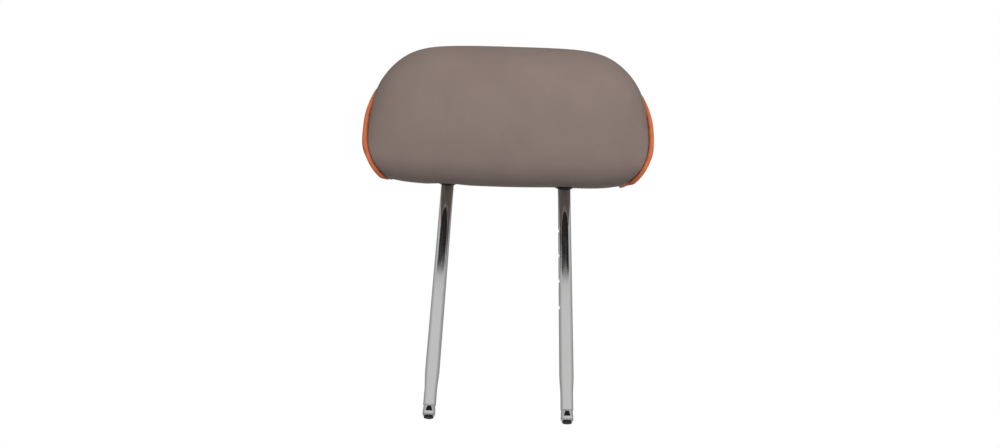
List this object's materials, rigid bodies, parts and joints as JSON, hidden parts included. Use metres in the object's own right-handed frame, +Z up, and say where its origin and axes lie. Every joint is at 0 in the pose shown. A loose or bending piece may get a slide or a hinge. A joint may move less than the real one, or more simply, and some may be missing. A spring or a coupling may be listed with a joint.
{
  "type": "car headrest",
  "caption": "Car headrest: padded leatherette cushion with contrast piping at its end seams, on a bent chromed tube whose two legs are notched posts that slide in a seat back.",
  "frame": {"origin": "midway between the axes of the two posts, at the level of their lower ends", "axes": "+Z up along the posts, -Y the way the cushion's face looks, +X to the right seen from the front"},
  "size_m": [0.2888, 0.1351, 0.3582],
  "materials": {
    "chrome": "bright chrome plate on steel tube",
    "black_plastic": "fine-grained moulded black plastic",
    "insert_plastic": "plain moulded grey plastic",
    "screw_steel": "zinc-plated steel",
    "foam": "moulded open-cell foam with a closed skin",
    "cover_leather": "taupe leatherette with a fine grain, low sheen",
    "piping_leather": "orange leatherette round a cord"
  },
  "bodies": {
    "root": {"post_frame": "chrome", "post_end_plug_left": "black_plastic", "post_end_plug_right": "black_plastic", "post_collar_left": "black_plastic", "post_collar_right": "black_plastic", "insert_front_half": "insert_plastic", "insert_rear_half": "insert_plastic", "insert_screw_1": "screw_steel", "insert_screw_2": "screw_steel", "insert_screw_3": "screw_steel", "insert_screw_4": "screw_steel", "insert_screw_5": "screw_steel", "insert_screw_6": "screw_steel", "foam_core": "foam", "cover_main_panel": "cover_leather", "cover_end_left": "cover_leather", "cover_end_right": "cover_leather", "piping_left": "piping_leather", "piping_right": "piping_leather", "closure_strip_front": "black_plastic", "closure_strip_rear": "black_plastic"}
  },
  "joints": []
}
